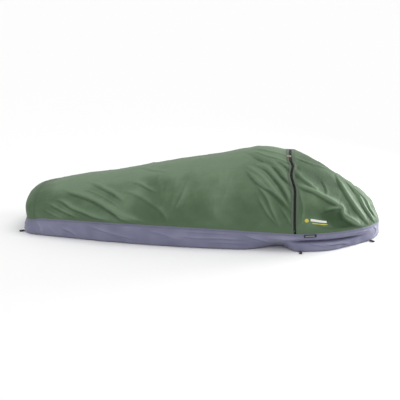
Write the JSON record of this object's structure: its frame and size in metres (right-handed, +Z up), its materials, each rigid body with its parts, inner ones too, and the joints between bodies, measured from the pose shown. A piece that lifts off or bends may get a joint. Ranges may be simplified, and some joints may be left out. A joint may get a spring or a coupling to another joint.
{
  "type": "bivy sack",
  "caption": "One-person waterproof bivy sack, filled out, with a bathtub floor, tapered body, arched zip across the shoulders, folding hood and peg loops.",
  "frame": {"origin": "middle of the whole object's footprint, on the underside of the floor sheet", "axes": "+X towards the head end, +Y towards the far side, +Z up"},
  "size_m": [2.2136, 0.8808, 0.5106],
  "materials": {
    "shell": "coated ripstop, faint sheen",
    "floor": "coated plain weave, matt",
    "seam_film": "translucent seam tape",
    "label": "woven label",
    "zip_tape": "woven zip tape",
    "coil": "nylon coil",
    "metal": "black enamel",
    "pull": "moulded pull",
    "webbing": "woven webbing"
  },
  "bodies": {
    "bag": {"floor_sheet": "floor", "tub_wall": "floor", "rim_binding": "floor", "rim_seam_tape": "seam_film", "side_label": "label", "foot_panel": "shell", "body_panel": "shell", "hood_panel": "shell", "foot_seam_tape": "seam_film", "zip_tape_body": "zip_tape", "zip_coil_body": "coil", "zip_welt_body": "shell", "zip_draft_flap": "shell", "zip_garage": "zip_tape", "zip_stop_near": "metal", "zip_stop_far": "metal"},
    "hood_edge": {"zip_tape_hood": "zip_tape", "zip_coil_hood": "coil", "zip_welt_hood": "shell"},
    "slider_near": {"zip_slider_near": "metal"},
    "slider_far": {"zip_slider_far": "metal"},
    "pull_near": {"zip_pull_near": "pull"},
    "pull_far": {"zip_pull_far": "pull"},
    "loop_foot_near": {"peg_loop_foot_near": "webbing"},
    "loop_foot_far": {"peg_loop_foot_far": "webbing"},
    "loop_shoulder_near": {"peg_loop_shoulder_near": "webbing"},
    "loop_shoulder_far": {"peg_loop_shoulder_far": "webbing"},
    "loop_head_near": {"peg_loop_head_near": "webbing"},
    "loop_head_far": {"peg_loop_head_far": "webbing"}
  },
  "joints": [
    {"name": "hood_fold", "type": "hinge", "parent": "bag", "child": "hood_edge", "pos_m": [0.59357, 0, 0.104], "axis": [0, 1, 0], "range_deg": [0, 75], "deforming": ["hood_panel"]},
    {"name": "zip_travel_near", "type": "hinge", "parent": "bag", "child": "slider_near", "pos_m": [0.59357, 0, 0.104], "axis": [0.9942, 0, 0.108], "range_deg": [0, 66]},
    {"name": "zip_travel_far", "type": "hinge", "parent": "bag", "child": "slider_far", "pos_m": [0.59357, 0, 0.104], "axis": [-0.9942, 0, -0.108], "range_deg": [0, 95]},
    {"name": "pull_swing_near", "type": "hinge", "parent": "slider_near", "child": "pull_near", "pos_m": [0.55173, -0.12962, 0.48912], "axis": [-0.9942, 0, -0.108], "range_deg": [0, 150]},
    {"name": "pull_swing_far", "type": "hinge", "parent": "slider_far", "child": "pull_far", "pos_m": [0.55019, -0.07444, 0.50331], "axis": [0.9942, 0, 0.108], "range_deg": [0, 150]},
    {"name": "loop_lift_foot_near", "type": "hinge", "parent": "bag", "child": "loop_foot_near", "pos_m": [-1.07877, -0.211, 0.004], "axis": [-0.5, 0.866, 0], "range_deg": [0, 90]},
    {"name": "loop_lift_foot_far", "type": "hinge", "parent": "bag", "child": "loop_foot_far", "pos_m": [-1.07877, 0.211, 0.004], "axis": [0.5, 0.866, 0], "range_deg": [0, 90]},
    {"name": "loop_lift_shoulder_near", "type": "hinge", "parent": "bag", "child": "loop_shoulder_near", "pos_m": [0.62857, -0.41242, 0.004], "axis": [-1, 0, 0], "range_deg": [0, 90]},
    {"name": "loop_lift_shoulder_far", "type": "hinge", "parent": "bag", "child": "loop_shoulder_far", "pos_m": [0.62857, 0.41242, 0.004], "axis": [1, 0, 0], "range_deg": [0, 90]},
    {"name": "loop_lift_head_near", "type": "hinge", "parent": "bag", "child": "loop_head_near", "pos_m": [1.04094, -0.15266, 0.004], "axis": [-0.624, -0.7814, 0], "range_deg": [0, 90]},
    {"name": "loop_lift_head_far", "type": "hinge", "parent": "bag", "child": "loop_head_far", "pos_m": [1.04094, 0.15266, 0.004], "axis": [0.624, -0.7814, 0], "range_deg": [0, 90]}
  ]
}
